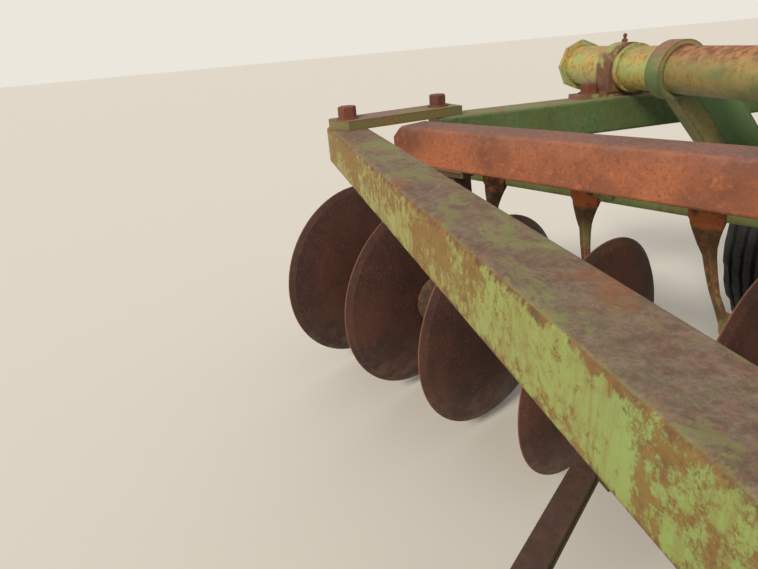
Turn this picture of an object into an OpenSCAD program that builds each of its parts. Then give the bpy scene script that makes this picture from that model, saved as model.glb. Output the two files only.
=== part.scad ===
// Pull-type tandem disc harrow, X to the right, Y forward, Z up, millimetres.
// The origin is on the ground, at the middle of the whole outline.

/* [Frame] */
// Width and height of the square frame tube
tube = 76; // [60:1:90]
// Height of the underside of the frame
frame_z = 600; // [585:1:640]
// Front face of the front beam, from the middle of the frame
beam_front = 1244; // [1230:1:1300]
// Half the length of the front and rear beams
beam_half = 1390; // [1380:1:1440]
// Inner face of a side beam, inboard of the front beam's end
side_in = 57; // [50:1:70]
// Half the length of a side beam
side_half = 1010; // [990:1:1020]
// Inner face of a centre beam, from the centre plane
centre_x = 150; // [130:1:170]
// Radius on the corners of the tubes
tube_r = 7; // [3:1:12]

/* [Corner ties] */
// Thickness of a tie bar
tie_t = 19; // [10:1:25]
// Width of a tie bar
tie_w = 76; // [66:1:80]
// Length of a front tie bar, behind its front bolt
tie_front_len = 248; // [240:1:270]
// Length of a rear tie bar, ahead of its rear bolt
tie_rear_len = 290; // [280:1:310]
// How far a tie bar turns outward from the frame's end
tie_turn = 10; // [0:0.5:12]
// Middle of a tie bar's bolt, inboard of the front beam's end
tie_in = 52; // [46:1:60]

/* [Disc gangs] */
// Angle between a gang and the front beam
gang_angle = 27.56; // [25:0.01:28]
// Middle of a gang, to the side
gang_x = 818; // [805:1:825]
// Middle of a gang, ahead of or behind the middle of the frame
gang_y = 778; // [770:1:790]
// Height of a gang's axle
axle_z = 262; // [255:1:290]
// Blades on a front gang
front_blades = 8; // [6:2:8]
// Blades on a rear gang, one fewer so that the inner ones meet without touching
rear_blades = 7; // [5:2:7]
// Distance from one blade to the next
pitch = 228.6; // [215:0.1:232]
// Diameter of a blade
blade_d = 468; // [440:1:490]
// Radius of the sphere that a blade is dished to
dish_r = 600; // [520:1:760]
// Thickness of a blade
blade_t = 5; // [4:0.5:7]
// Radius of a blade's flat centre
flat_r = 62; // [60:1:70]
// Width of the ground bevel on a blade's edge
bevel_w = 14; // [6:1:20]
// Width of the square gang bolt
bolt_sq = 30; // [24:1:34]
// Radius of a spool's flanges
spool_r = 56; // [50:1:58]
// Radius of a spool's waist
waist_r = 36; // [28:1:40]

/* [Gang beams and standards] */
// How far a gang beam lies ahead of its axle
gang_beam_y = 40; // [34:1:46]
// Outer end of a front gang beam, from the middle of the gang
front_reach = 590; // [570:1:595]
// Outer end of a rear gang beam, from the middle of the gang
rear_reach = 534; // [525:1:540]
// Standards on a front gang, from its middle, in blade pitches
front_standard_at = 2; // [1:1:2]
// Standards on a rear gang, from its middle, in blade pitches
rear_standard_at = 1.5; // [0.5:1:1.5]
// Thickness of a standard's leg
standard_t = 32; // [24:1:50]
// Radius of a bearing journal
journal_r = 38; // [34:1:42]
// Outer radius of a bearing housing
housing_r = 62; // [58:1:66]
// Width of a bearing housing
housing_w = 54; // [46:1:60]
// Radial clearance of every running fit
run_fit = 0.05; // [0.02:0.01:0.1]

/* [Scrapers] */
// Width of the square scraper bar
bar_w = 50; // [40:1:56]
// Front face of a scraper bar, behind its axle
bar_back = 168; // [160:1:180]
// Height of a scraper bar's underside
bar_z = 512; // [505:1:530]
// Thickness of a scraper
scraper_t = 8; // [5:0.5:10]
// Gap from a scraper's edge to the blade
scraper_gap = 7; // [5.5:0.5:12]

/* [Wheels] */
// Diameter of a tyre
tyre_d = 750; // [720:1:770]
// Width of a tyre
tyre_w = 230; // [200:1:236]
// Middle of a tyre, from the centre plane
tyre_x = 1060; // [1045:1:1062]
// Middle of the wheels, ahead of the middle of the frame
wheel_y = 40; // [-40:1:80]
// Radius of a rim's seat
rim_r = 195; // [180:1:205]
// Radius of a wheel spindle
spindle_r = 25; // [20:1:30]

/* [Lift] */
// Diameter of the rockshaft
shaft_d = 90; // [84:1:98]
// Middle of the rockshaft, above the frame
shaft_rise = 59; // [57:1:66]
// Middle of the rockshaft, ahead of the middle of the frame
shaft_y = 550; // [530:1:570]
// How far the rockshaft reaches beyond the end of the front beam
shaft_out = 148; // [120:1:170]
// Inner face of a wheel arm, inboard of the side beam
arm_in = 146; // [142:1:160]
// Width of a wheel arm
arm_w = 37; // [30:1:44]
// Thickness of a wheel arm's web
web_t = 13; // [8:1:16]
// Angle below level at which a wheel arm leaves the shaft
leg_fall = 48; // [40:1:52]
// Distance from the shaft to a wheel arm's bend
elbow_at = 300; // [280:1:320]
// Thickness of a shaft clamp's strap
strap_t = 8; // [6:1:12]
// Width of a shaft clamp
clamp_w = 48; // [40:1:56]
// Length of the lift crank
crank_len = 200; // [180:1:215]
// How far the rod's eye hangs below the crank pin at rest, inside a wide bore
eye_drop = 5; // [4:0.5:6]
// Height of the cylinder's base pin above the frame
base_pin_h = 124; // [110:1:140]
// Radius of the cylinder's pins
pin_r = 12.5; // [10:0.5:14]
// Radius of the cylinder barrel
barrel_r = 38; // [34:1:42]
// Radius of the cylinder rod
rod_r = 16; // [12:1:18]
// Length of the barrel, from its base pin
barrel_len = 500; // [480:1:510]

/* [Hitch] */
// Height of the tongue's underside
tongue_z = 404; // [380:1:420]
// Front end of the tongue, from the middle of the frame
tongue_end = 2600; // [2500:1:2700]
// Where a brace passes under the front beam, from the centre plane
brace_x = 471; // [440:1:500]
// Height of a brace's top there, below the front beam
brace_below = 48; // [40:1:60]
// Angle between a brace and the tongue
brace_angle = 37; // [34:0.5:40]
// Width of a brace
brace_w = 18; // [14:1:30]
// Depth of a brace
brace_t = 14; // [12:1:24]
// Radius of the hitch pin's bore
hitch_r = 14; // [12:0.5:16]
// Radius of the jack's leg
leg_r = 25; // [20:1:28]
// Middle of the jack, from the middle of the frame
jack_y = 2250; // [2150:1:2350]

/* [Hidden] */
$fn = 64;

green = [0.45, 0.52, 0.2];
deep_green = [0.16, 0.25, 0.14];
rust = [0.42, 0.26, 0.16];
dark_rust = [0.27, 0.18, 0.14];
rubber = [0.12, 0.12, 0.12];

frame_top = frame_z + tube;
shaft_r = shaft_d / 2;
shaft_z = frame_top + shaft_rise;
side_x = beam_half - side_in;
shaft_half = beam_half + shaft_out;
wheel_z = tyre_d / 2;
blade_r = blade_d / 2;
arm_x = side_x - arm_in;
elbow_y = shaft_y - elbow_at * cos(leg_fall);
elbow_z = shaft_z - elbow_at * sin(leg_fall);
pin_z = shaft_z + crank_len;
base_y = beam_front - tube / 2;
base_z = frame_top + base_pin_h;
eye_z = pin_z - eye_drop;
rest_len = sqrt(pow(base_y - shaft_y, 2) + pow(eye_z - base_z, 2));
rest_angle = atan2(eye_z - base_z, base_y - shaft_y);
brace_y = beam_front - 27;
brace_top = frame_z - brace_below;
brace_end = tongue_z + tube - 6;
brace_run = (brace_x - tube / 2) / sin(brace_angle);
clevis_pin = 70;
jack_x = -tube / 2 - 40;
scraper_out = 200;
rim_plane = dish(blade_r) + blade_t / 2;
rim_edge = 1.2;
front_edge = tongue_end + clevis_pin + tube / 2;
rear_edge = gang_y + (span(rear_blades) / 2 - rim_plane + rim_edge) * sin(gang_angle) + blade_r * cos(gang_angle);
origin_y = (front_edge - rear_edge) / 2;

function span(count) = (count - 1) * pitch;
function hub_at(count, k) = span(count) / 2 - k * pitch;
function dish(r) = sqrt(dish_r * dish_r - flat_r * flat_r) - sqrt(dish_r * dish_r - r * r);

// The whole machine is drawn about the middle of its frame, and moved to the origin here.
module place() { translate([0, -origin_y, 0]) children(); }

module both_sides() { for (s = [0, 1]) mirror([s, 0, 0]) children(); }

module round_square(w, r) {
    square([w, w - 2 * r], center = true);
    square([w - 2 * r, w], center = true);
    for (x = [-1, 1], y = [-1, 1]) translate([x * (w / 2 - r), y * (w / 2 - r)]) circle(r);
}

// A square tube along X, from x0 to x1, with its middle on the axis and its ends closed.
module tube_x(x0, x1, w = tube, r = tube_r) {
    translate([x0, 0, 0]) rotate([90, 0, 90]) linear_extrude(x1 - x0) round_square(w, r);
}

module tube_y(y0, y1, w = tube, r = tube_r) {
    rotate(90) tube_x(y0, y1, w, r);
}

// A plate of the given thickness whose outline is drawn in Y and Z, from x0 on.
module plate_x(x0, t) {
    translate([x0, 0, 0]) rotate([90, 0, 90]) linear_extrude(t) children();
}

module cross_beam(y) {
    color(green) place() translate([0, y, frame_z + tube / 2]) tube_x(-beam_half, beam_half);
}

module front_beam() { cross_beam(beam_front - tube / 2); }

module rear_beam() { cross_beam(tube / 2 - beam_front); }

module side_beam() {
    color(deep_green) place()
        translate([side_x + tube / 2, 0, frame_z + tube / 2]) tube_y(-side_half, side_half);
}

module centre_beams() {
    color(deep_green) place() both_sides()
        translate([centre_x + tube / 2, 0, frame_z + tube / 2])
            tube_y(tube - beam_front, beam_front - tube);
}

// A flat bar bolted over the corner, turned outward, with its free corner cut off.
module corner_tie(len) {
    w = tie_w / 2;
    translate([beam_half - tie_in, beam_front - tube / 2, frame_top]) rotate(tie_turn)
        linear_extrude(tie_t) polygon([
            [-w, -len], [w, -len], [w, w - 14], [w - 3, w - 9], [w - 9, w - 6], [14, w - 2], [-w, w - 26],
        ]);
}

module corner_ties() {
    color(rust) place() both_sides() {
        corner_tie(tie_front_len);
        mirror([0, 1, 0]) corner_tie(tie_rear_len);
    }
}

// A strap clamp that holds the rockshaft on a beam, with a foot plate on either side.
module shaft_clamp(x, w) {
    foot = 240;
    translate([x - w / 2, shaft_y, 0]) difference() {
        union() {
            translate([0, -foot / 2, frame_top]) cube([w, foot, 10]);
            translate([0, 0, shaft_z]) rotate([0, 90, 0]) cylinder(r = shaft_r + strap_t, h = w);
            translate([0, -shaft_r - strap_t, frame_top]) cube([w, 2 * (shaft_r + strap_t), shaft_z - frame_top]);
        }
        translate([-1, 0, shaft_z]) rotate([0, 90, 0]) cylinder(r = shaft_r + run_fit, h = w + 2);
    }
}

module shaft_bearings() {
    color(rust) place() both_sides() {
        shaft_clamp(side_x + tube / 2 + 2, clamp_w);
        shaft_clamp(centre_x + tube / 2, clamp_w);
    }
}

module cylinder_bracket() {
    color(green) place() {
        difference() {
            union() {
                translate([-40, beam_front - tube, frame_top]) cube([80, tube, 10]);
                both_sides() plate_x(22, 12) hull() {
                    translate([base_y, base_z]) circle(28);
                    translate([beam_front - tube, frame_top]) square([tube, 10]);
                }
            }
            translate([-50, base_y, base_z]) rotate([0, 90, 0]) cylinder(r = pin_r, h = 100);
        }
        translate([-40, base_y, base_z]) rotate([0, 90, 0]) cylinder(r = pin_r, h = 80);
    }
}

module tongue() {
    color(green) place()
        translate([0, 0, tongue_z + tube / 2]) tube_y(beam_front - tube, tongue_end);
}

// A brace's section: a flat bar with a slot along the side that faces the frame.
module brace_section() {
    difference() {
        translate([-brace_w, -brace_t]) square([brace_w, brace_t]);
        translate([-brace_w - 1, -brace_t * 0.6]) square([brace_w * 0.7, brace_t * 0.24]);
    }
}

module brace() {
    fall = atan((brace_top - brace_end) / brace_run);
    intersection() {
        translate([brace_x, brace_y, brace_top]) rotate([-fall, 0, brace_angle])
            translate([0, -brace_w, 0]) rotate([90, 0, 0]) mirror([0, 0, 1])
                linear_extrude(brace_run + 4 * brace_w) brace_section();
        translate([tube / 2, 0, 0]) cube([beam_half, tongue_end, frame_z]);
    }
    translate([brace_x - brace_w * 1.5, beam_front - tube, brace_top - brace_t / 2])
        cube([brace_w * 1.4, tube / 2, brace_below + brace_t / 2]);
}

module hitch_braces() { color(green) place() both_sides() brace(); }

module tongue_hangers() {
    top = tongue_z + tube;
    color(rust) place() both_sides()
        translate([tube / 2 - 14, beam_front - tube, top]) cube([14, tube, frame_z - top]);
}

module hitch_clevis() {
    color(rust) place() difference() {
        union() {
            translate([-tube / 2, tongue_end, tongue_z]) cube([tube, 16, tube]);
            for (z = [tongue_z, tongue_z + tube - 20])
                translate([0, 0, z]) linear_extrude(20) {
                    translate([-tube / 2, tongue_end]) square([tube, clevis_pin]);
                    translate([0, tongue_end + clevis_pin]) circle(tube / 2);
                }
        }
        translate([0, tongue_end + clevis_pin, tongue_z - 1]) cylinder(r = hitch_r, h = tube + 2);
    }
}

jack_low = 240;
jack_high = 760;
jack_tube_r = leg_r + 7;

module jack_body() {
    color(rust) place() translate([jack_x, jack_y, 0]) difference() {
        union() {
            translate([0, 0, jack_low]) cylinder(r = jack_tube_r, h = jack_high - jack_low);
            translate([0, -40, tongue_z + 8]) cube([-jack_x - tube / 2, 80, tube - 16]);
            translate([0, 0, jack_high]) cylinder(r = jack_tube_r + 4, h = 14);
            translate([0, 0, jack_high]) cylinder(r = 10, h = 50);
            translate([0, 0, jack_high + 40]) rotate([0, -90, 0]) cylinder(r = 8, h = 130);
            translate([-120, 0, jack_high + 40]) cylinder(r = 8, h = 90);
        }
        translate([0, 0, jack_low - 1]) cylinder(r = leg_r + run_fit, h = jack_high - jack_low - 9);
    }
}

module jack_leg() {
    color(rust) place() translate([jack_x, jack_y, 0]) {
        cylinder(r = 72, h = 8);
        cylinder(r = leg_r, h = 500);
    }
}

module rockshaft() {
    color(green) place() translate([0, shaft_y, shaft_z]) rotate([0, 90, 0]) {
        translate([0, 0, -shaft_half]) cylinder(r = shaft_r, h = 2 * shaft_half);
        for (x = [-shaft_half - 12, shaft_half])
            translate([0, 0, x]) cylinder(r = shaft_r + 15, h = 12, $fn = 8);
        for (x = [-side_x - 4, side_x - 6])
            translate([0, 0, x]) cylinder(r = shaft_r + 6, h = 10);
    }
}

// A wheel arm's edge bar in Y and Z: down from the front of the shaft, then back to the wheel.
module arm_bar() {
    bar_r = 19;
    off = bar_r + 2;
    bend = [elbow_y + off * sin(leg_fall), elbow_z - off * cos(leg_fall)];
    hull() {
        translate([shaft_y + off * sin(leg_fall), shaft_z - off * cos(leg_fall)]) circle(bar_r);
        translate(bend) circle(bar_r);
    }
    hull() {
        translate(bend) circle(bar_r);
        translate([wheel_y, wheel_z]) circle(spindle_r + 12);
    }
}

// The web behind the bar is a broad plate that narrows towards the wheel.
module arm_web() {
    wide = 77;
    polygon([
        [shaft_y, shaft_z], [shaft_y - wide, shaft_z + 10], [shaft_y - wide * 2.3, shaft_z - 80],
        [elbow_y - wide * sin(leg_fall), elbow_z + wide * cos(leg_fall)], [wheel_y, wheel_z + spindle_r],
        [wheel_y, wheel_z], [elbow_y, elbow_z],
    ]);
}

module wheel_arm() {
    hub_in = tyre_x - 58;
    color(green) place() {
        difference() {
            union() {
                plate_x(arm_x, arm_w) arm_bar();
                plate_x(arm_x + (arm_w - web_t) / 2, web_t) arm_web();
                plate_x(arm_x - 1, arm_w + 2) translate([shaft_y, shaft_z]) circle(shaft_r + 12);
            }
            translate([arm_x - 4, shaft_y, shaft_z]) rotate([0, 90, 0])
                cylinder(r = shaft_r + 0.02, h = arm_w + 8);
        }
        translate([hub_in, wheel_y, wheel_z]) rotate([0, 90, 0])
            cylinder(r = spindle_r, h = arm_x + 4 - hub_in);
    }
}

module lift_crank() {
    color(green) place() {
        difference() {
            both_sides() plate_x(24, 14) hull() {
                translate([shaft_y, shaft_z]) circle(shaft_r + 16);
                translate([shaft_y, pin_z]) circle(28);
            }
            translate([-50, shaft_y, shaft_z]) rotate([0, 90, 0]) cylinder(r = shaft_r + 0.02, h = 100);
        }
        translate([-44, shaft_y, pin_z]) rotate([0, 90, 0]) cylinder(r = pin_r, h = 88);
    }
}

// A ribbed implement tyre: half its width, radius and a groove depth give the section.
module tyre() {
    w = tyre_w / 2;
    r = tyre_d / 2;
    rib = tyre_w / 12;
    color(rubber) place() translate([tyre_x, wheel_y, wheel_z]) rotate([0, 90, 0]) difference() {
        rotate_extrude($fn = 96) polygon([
            [rim_r, -w * 0.78], [rim_r + 18, -w * 0.84], [rim_r + 80, -w], [r - 50, -w], [r - 16, -w * 0.8],
            [r, -w * 0.55], [r, w * 0.55], [r - 16, w * 0.8], [r - 50, w], [rim_r + 80, w],
            [rim_r + 18, w * 0.84], [rim_r, w * 0.78],
        ]);
        for (k = [-1.5, -0.5, 0.5, 1.5]) translate([0, 0, k * 2 * rib * 0.85 - rib * 0.2])
            difference() {
                cylinder(r = r + 1, h = rib * 0.4, $fn = 96);
                translate([0, 0, -1]) cylinder(r = r - 10, h = rib, $fn = 96);
            }
    }
}

// The rim, its dished disc and its hub turn on the spindle.
module wheel() {
    w = tyre_w / 2 * 0.78;
    hub_w = 60;
    color(rust) place() translate([tyre_x, wheel_y, wheel_z]) rotate([0, 90, 0]) {
        rotate_extrude($fn = 96) {
            polygon([
                [rim_r - 6, -w - 8], [rim_r + 10, -w - 12], [rim_r + 16, -w - 12], [rim_r + 16, -w - 7],
                [rim_r - 0.1, -w], [rim_r - 0.1, w],
                [rim_r + 16, w + 7], [rim_r + 16, w + 12], [rim_r + 10, w + 12], [rim_r - 6, w + 8],
            ]);
            polygon([[50, 14], [90, 14], [140, 2], [rim_r - 4, 2], [rim_r - 4, 12], [145, 12], [95, 26], [50, 26]]);
            polygon([
                [spindle_r + run_fit, -hub_w], [50, -hub_w], [56, -20], [56, hub_w], [spindle_r + run_fit, hub_w],
            ]);
        }
        translate([0, 0, -hub_w - 14]) cylinder(r = 42, h = 14.1);
    }
}

// Everything on the cylinder is drawn along its own line, from the base pin towards the crank.
module along_cylinder() {
    translate([0, base_y, base_z]) rotate([-rest_angle, 0, 0]) rotate([90, 0, 0]) children();
}

module pin_eye(r, w, bore) {
    difference() {
        rotate([0, 90, 0]) translate([0, 0, -w / 2]) cylinder(r = r, h = w);
        rotate([0, 90, 0]) translate([0, 0, -w / 2 - 1]) cylinder(r = bore, h = w + 2);
    }
}

module lift_barrel() {
    color(deep_green) place() along_cylinder() {
        pin_eye(28, 42, pin_r + run_fit);
        difference() {
            union() {
                translate([0, 0, 30]) cylinder(r = barrel_r, h = barrel_len - 30);
                translate([0, 0, barrel_len - 30]) cylinder(r = barrel_r + 5, h = 30);
                translate([-21, -20, 20]) cube([42, 40, 20]);
            }
            translate([0, 0, 200]) cylinder(r = rod_r + run_fit, h = barrel_len);
            rotate([0, 90, 0]) translate([0, 0, -50]) cylinder(r = pin_r + run_fit, h = 100);
        }
    }
}

module lift_rod() {
    eye_bore = pin_r + 9;
    color("silver") place() along_cylinder() {
        translate([0, 0, 300]) cylinder(r = rod_r, h = rest_len - 300 - eye_bore - 2);
        translate([0, 0, rest_len]) pin_eye(eye_bore + 9, 40, eye_bore);
    }
}

// Places what it is given on one gang: side is 1 where the hollow faces look to the right.
module on_gang(side, x, y) {
    place() translate([x, y, 0]) mirror([side > 0 ? 0 : 1, 0, 0]) rotate(gang_angle) children();
}

// The gang beam lies along the gang, and is cut off flat against the centre beam.
module gang_beam(side, x, y, outer) {
    inner = gang_x / cos(gang_angle);
    right = x > 0 ? 0 : 1;
    bevel = 22;
    color(rust) intersection() {
        on_gang(side, x, y) difference() {
            translate([0, gang_beam_y, frame_z + tube / 2])
                tube_x(outer > 0 ? -inner : outer, outer > 0 ? outer : inner);
            translate([outer, gang_beam_y - tube, frame_top]) rotate([0, 45, 0])
                translate([-bevel / sqrt(2), 0, -bevel / sqrt(2)]) cube([bevel * sqrt(2), 2 * tube, bevel * sqrt(2)]);
        }
        place() mirror([right, 0, 0])
            translate([centre_x + tube, -beam_front, 0]) cube([beam_half, 2 * beam_front, 2 * frame_z]);
    }
}

module standard_outline() {
    top = frame_z - axle_z - 6;
    circle(housing_r);
    polygon([
        [-12, housing_r - 6], [-14, 110], [0, 190], [gang_beam_y - 24, top],
        [gang_beam_y + 24, top], [gang_beam_y + 14, 180], [gang_beam_y + 8, 90], [52, 30],
    ]);
}

// A standard is welded under the gang beam by its foot, and holds a bearing on the axle.
module standard() {
    foot = 90;
    foot_t = 12;
    translate([0, 0, axle_z]) difference() {
        union() {
            plate_x(-standard_t / 2, standard_t) standard_outline();
            plate_x(-housing_w / 2, housing_w) circle(housing_r - 4);
        }
        rotate([0, 90, 0]) translate([0, 0, -housing_w]) cylinder(r = journal_r + run_fit, h = 2 * housing_w);
    }
    translate([-foot / 2, gang_beam_y - tube / 2 + 6, frame_z - foot_t]) cube([foot, tube - 12, foot_t]);
}

module standards(side, x, y, at) {
    color(dark_rust) on_gang(side, x, y)
        for (s = [-1, 1]) translate([s * at * pitch, 0, 0]) standard();
}

DISH_STEPS = 8;
dish_radii = [for (k = [0:DISH_STEPS]) flat_r + (blade_r - flat_r) * k / DISH_STEPS];
bevel_from = blade_r - bevel_w;

// A dished blade about the Z axis, its flat centre on Z = 0 and its hollow face up.
module blade() {
    difference() {
        rotate_extrude($fn = 96) polygon(concat(
            [[0, blade_t]],
            [for (r = dish_radii) [r, dish(r) + blade_t]],
            [[blade_r, dish(blade_r) + blade_t - rim_edge]],
            [for (k = [0:DISH_STEPS - 1]) let (r = bevel_from - (bevel_from - flat_r) * k / (DISH_STEPS - 1)) [r, dish(r)]],
            [[0, 0]]
        ));
        translate([-bolt_sq / 2 - 0.5, -bolt_sq / 2 - 0.5, -1]) cube([bolt_sq + 1, bolt_sq + 1, blade_t + 2]);
    }
}

module along_gang() { translate([0, 0, axle_z]) rotate([0, 90, 0]) children(); }

module blades(side, x, y, count) {
    color(dark_rust) on_gang(side, x, y) along_gang()
        for (k = [0:count - 1]) translate([0, 0, hub_at(count, k) - blade_t / 2]) blade();
}

// Half of a spool's section, from its middle to its flange.
module spool(len, bearing) {
    h = len / 2;
    mid = bearing ? journal_r : waist_r;
    shoulder = bearing ? housing_w / 2 + 4 : h * 0.4;
    step = bearing ? 50 : waist_r;
    for (s = [0, 1]) mirror([0, 0, s]) rotate_extrude() polygon([
        [0, -0.01], [mid, -0.01], [mid, shoulder], [step, shoulder], [step - 8 * (bearing ? 1 : 0), shoulder + 16],
        [spool_r - 8, h - 22], [spool_r, h - 12], [spool_r, h], [0, h],
    ]);
}

module axle(side, x, y, count, at) {
    end = span(count) / 2 + blade_t / 2;
    color(dark_rust) on_gang(side, x, y) along_gang() {
        translate([-bolt_sq / 2, -bolt_sq / 2, -end - 50]) cube([bolt_sq, bolt_sq, 2 * end + 100]);
        for (k = [0:count - 2]) let (middle = hub_at(count, k) - pitch / 2) translate([0, 0, middle])
            spool(pitch - blade_t, abs(abs(middle) - at * pitch) < 1);
        for (s = [-1, 1]) translate([0, 0, s > 0 ? end : -end - 14]) cylinder(r = spool_r, h = 14);
        for (s = [-1, 1]) translate([0, 0, s > 0 ? end + 14 : -end - 38]) cylinder(r = 32, h = 24, $fn = 6);
    }
}

// Where a scraper's plane crosses the blade: the radius there, and the hollow face's place.
slope = 46;
hanger_at = 240;
function cross_y(s) = -bar_back + s * cos(slope);
function cross_z(s) = bar_z - scraper_t / 2 - axle_z - s * sin(slope);
function cross_r(s) = sqrt(pow(cross_y(s), 2) + pow(cross_z(s), 2));
function face_at(s) = dish(cross_r(s)) - dish(blade_r) + scraper_gap;
foot_from = 150;
foot_to = 200;
arm_from = 108;
arm_to = 172;

// A scraper's outline: distance along the bar from the blade's rim plane, then down its own plane.
module scraper_outline() {
    polygon(concat(
        [[arm_from, -4], [107, 12], [104, 34], [90, 76], [68, 118], [44, foot_from - 2], [10, foot_from]],
        [for (s = [foot_from:10:foot_to]) [face_at(s), s]],
        [[14, foot_to + 4], [48, 188], [84, 122], [114, 64], [128, 43], [158, 9], [arm_to, -4]]
    ));
}

// A scraper is bolted by its upright to the bar's front, and its blade slopes down to the disc.
module scraper() {
    sink = 3;
    side = 4;
    translate([arm_from - side, -bar_back - sink, bar_z - scraper_t - 2])
        cube([arm_to - arm_from + 2 * side, scraper_t + sink, bar_w]);
    translate([0, -bar_back, bar_z - scraper_t / 2]) rotate([-slope, 0, 0])
        translate([0, 0, -scraper_t / 2]) linear_extrude(scraper_t) scraper_outline();
}

// The bar hangs from the gang beam by plates.
module scrapers(side, x, y, count) {
    bar_out = hub_at(count, 1) + rim_plane + scraper_out;
    bar_in = hub_at(count, count - 1) + rim_plane + 120;
    rear = gang_beam_y - tube / 2;
    color(dark_rust) on_gang(side, x, y) {
        translate([0, -bar_back - bar_w / 2, bar_z + bar_w / 2]) tube_x(bar_in, bar_out, bar_w, 5);
        for (u = [-1, 1]) plate_x(u * hanger_at - 5, 10) polygon([
            [rear, frame_top - 8], [rear, frame_z + 8], [-bar_back + 20, bar_z + 4], [-bar_back - 3, bar_z + 8],
            [-bar_back - 3, bar_z + bar_w - 8], [rear - 60, frame_top - 16],
        ]);
        for (k = [1:count - 1]) translate([hub_at(count, k) + rim_plane, 0, 0]) scraper();
    }
}

front_beam();
rear_beam();
side_beam();  // side_beam_right
mirror([1, 0, 0]) side_beam();  // side_beam_left
centre_beams();
corner_ties();
shaft_bearings();
cylinder_bracket();
tongue();
hitch_braces();
tongue_hangers();
hitch_clevis();
jack_body();
jack_leg();
rockshaft();
wheel_arm();  // wheel_arm_right
mirror([1, 0, 0]) wheel_arm();  // wheel_arm_left
lift_crank();
tyre();  // tyre_right
mirror([1, 0, 0]) tyre();  // tyre_left
wheel();  // wheel_right
mirror([1, 0, 0]) wheel();  // wheel_left
lift_barrel();
lift_rod();
gang_beam(1, gang_x, gang_y, front_reach);  // front_right_beam
standards(1, gang_x, gang_y, front_standard_at);  // front_right_standards
scrapers(1, gang_x, gang_y, front_blades);  // front_right_scrapers
axle(1, gang_x, gang_y, front_blades, front_standard_at);  // front_right_axle
blades(1, gang_x, gang_y, front_blades);  // front_right_blades
gang_beam(-1, -gang_x, gang_y, front_reach);  // front_left_beam
standards(-1, -gang_x, gang_y, front_standard_at);  // front_left_standards
scrapers(-1, -gang_x, gang_y, front_blades);  // front_left_scrapers
axle(-1, -gang_x, gang_y, front_blades, front_standard_at);  // front_left_axle
blades(-1, -gang_x, gang_y, front_blades);  // front_left_blades
gang_beam(-1, gang_x, -gang_y, -rear_reach);  // rear_right_beam
standards(-1, gang_x, -gang_y, rear_standard_at);  // rear_right_standards
scrapers(-1, gang_x, -gang_y, rear_blades);  // rear_right_scrapers
axle(-1, gang_x, -gang_y, rear_blades, rear_standard_at);  // rear_right_axle
blades(-1, gang_x, -gang_y, rear_blades);  // rear_right_blades
gang_beam(1, -gang_x, -gang_y, -rear_reach);  // rear_left_beam
standards(1, -gang_x, -gang_y, rear_standard_at);  // rear_left_standards
scrapers(1, -gang_x, -gang_y, rear_blades);  // rear_left_scrapers
axle(1, -gang_x, -gang_y, rear_blades, rear_standard_at);  // rear_left_axle
blades(1, -gang_x, -gang_y, rear_blades);  // rear_left_blades
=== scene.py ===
import math
from collections import namedtuple

import bmesh
import bpy
from mathutils import Matrix, Vector


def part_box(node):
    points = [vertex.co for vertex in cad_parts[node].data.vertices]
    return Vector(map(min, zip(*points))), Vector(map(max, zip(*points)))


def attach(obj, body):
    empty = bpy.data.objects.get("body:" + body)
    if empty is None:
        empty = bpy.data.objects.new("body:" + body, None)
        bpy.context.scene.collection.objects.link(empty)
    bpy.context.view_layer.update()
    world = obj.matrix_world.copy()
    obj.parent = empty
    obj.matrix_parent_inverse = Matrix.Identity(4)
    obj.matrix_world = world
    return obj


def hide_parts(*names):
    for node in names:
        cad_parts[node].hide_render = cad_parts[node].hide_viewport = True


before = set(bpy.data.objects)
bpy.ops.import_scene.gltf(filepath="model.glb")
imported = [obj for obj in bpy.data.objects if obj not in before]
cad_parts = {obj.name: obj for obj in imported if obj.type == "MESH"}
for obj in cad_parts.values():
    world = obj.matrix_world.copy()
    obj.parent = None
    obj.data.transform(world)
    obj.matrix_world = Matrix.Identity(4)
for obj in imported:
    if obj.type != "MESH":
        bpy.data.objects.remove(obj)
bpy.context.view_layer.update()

IMAGE_WIDTH = 758
FOCAL_PX = 543.3
SENSOR = 36.0

# The camera stands over the hitch braces, just ahead of the front beam, and looks to the right.
CAMERA_SIDE = 0.2014
CAMERA_AHEAD = 0.1616
CAMERA_ABOVE = 0.1695
CAMERA_HEADING = math.radians(11.68)
CAMERA_PITCH = math.radians(24.6)
CAMERA_ROLL = math.radians(-4.9)
CAMERA_NEAR = 0.02

# The light is a pale sky and one broad lamp. The floor's half side is in metres.
SKY_STRENGTH = 0.62
LAMP_STRENGTH = 2.3
LAMP_ANGLE = math.radians(14)
LAMP_COLOUR = (1.0, 0.95, 0.87)
LAMP_FROM = (-0.55, 0.62, 0.60)
FLOOR_HALF = 30

# Numbers that Blender gives to axes and to the sockets of a colour mix.
X, Y, Z = 0, 1, 2
MIX_SHARE, MIX_A, MIX_B, MIX_RESULT = 0, 6, 7, 2

# Places and sizes are in the machine's drawing, in millimetres: X is to the right, Y ahead and Z up.
FRAME_FRONT = 1244
SHIFT_Y = FRAME_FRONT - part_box("front_beam")[1][1] * 1000


def drawn(node, axis):
    """How far one of the frame's nodes goes in the drawing along an axis: from and to."""
    shift = SHIFT_Y if axis == Y else 0
    return [corner[axis] * 1000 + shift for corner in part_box(node)]


def centre(node, axis):
    """The middle of a node along an axis, to a thousandth of a millimetre."""
    return round(sum(drawn(node, axis)) / 2, 3)


def reach(node, axis):
    """The high end of a node along an axis, to a thousandth of a millimetre."""
    return round(drawn(node, axis)[1], 3)


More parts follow.
